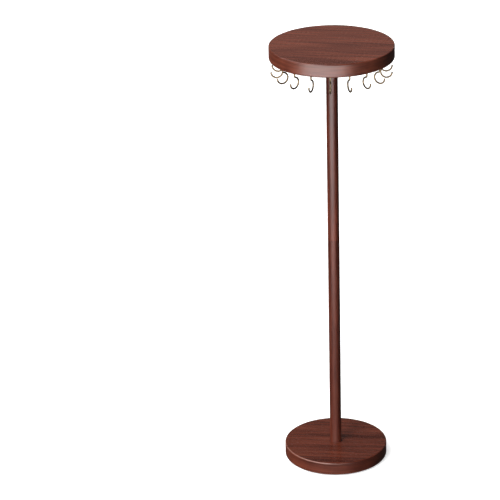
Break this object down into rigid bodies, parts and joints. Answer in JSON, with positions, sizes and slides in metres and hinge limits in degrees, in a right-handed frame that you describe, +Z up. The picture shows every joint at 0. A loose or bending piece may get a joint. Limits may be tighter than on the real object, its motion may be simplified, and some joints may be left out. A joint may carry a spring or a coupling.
{
  "type": "hook stand",
  "caption": "Tall wooden hook stand: a round head on a slim post and a round base, with a ring of small brass screw hooks under the head's rim.",
  "frame": {"origin": "centre of the felt pad's underside, where the stand rests", "axes": "+Z up along the post; hook_01 points along -Y"},
  "size_m": [0.12, 0.12, 0.4343],
  "materials": {
    "pad_felt": "dark brown wool felt",
    "base_wood": "dark red-brown stain under satin lacquer",
    "post_wood": "dark red-brown stain under satin lacquer",
    "head_wood": "dark red-brown stain under satin lacquer",
    "hook_brass": "polished, pale",
    "screw_steel": "zinc plated"
  },
  "bodies": {
    "root": {"felt_pad": "pad_felt", "base_disc": "base_wood", "base_screw": "screw_steel", "post_lower": "post_wood", "post_upper": "post_wood", "joint_screw": "screw_steel", "head_screw": "screw_steel", "head_disc": "head_wood", "hook_01": "hook_brass", "hook_02": "hook_brass", "hook_03": "hook_brass", "hook_04": "hook_brass", "hook_05": "hook_brass", "hook_06": "hook_brass", "hook_07": "hook_brass", "hook_08": "hook_brass", "hook_09": "hook_brass", "hook_10": "hook_brass", "hook_11": "hook_brass", "hook_12": "hook_brass", "hook_13": "hook_brass", "hook_14": "hook_brass", "hook_15": "hook_brass", "hook_16": "hook_brass", "hook_17": "hook_brass", "hook_18": "hook_brass"}
  },
  "joints": []
}
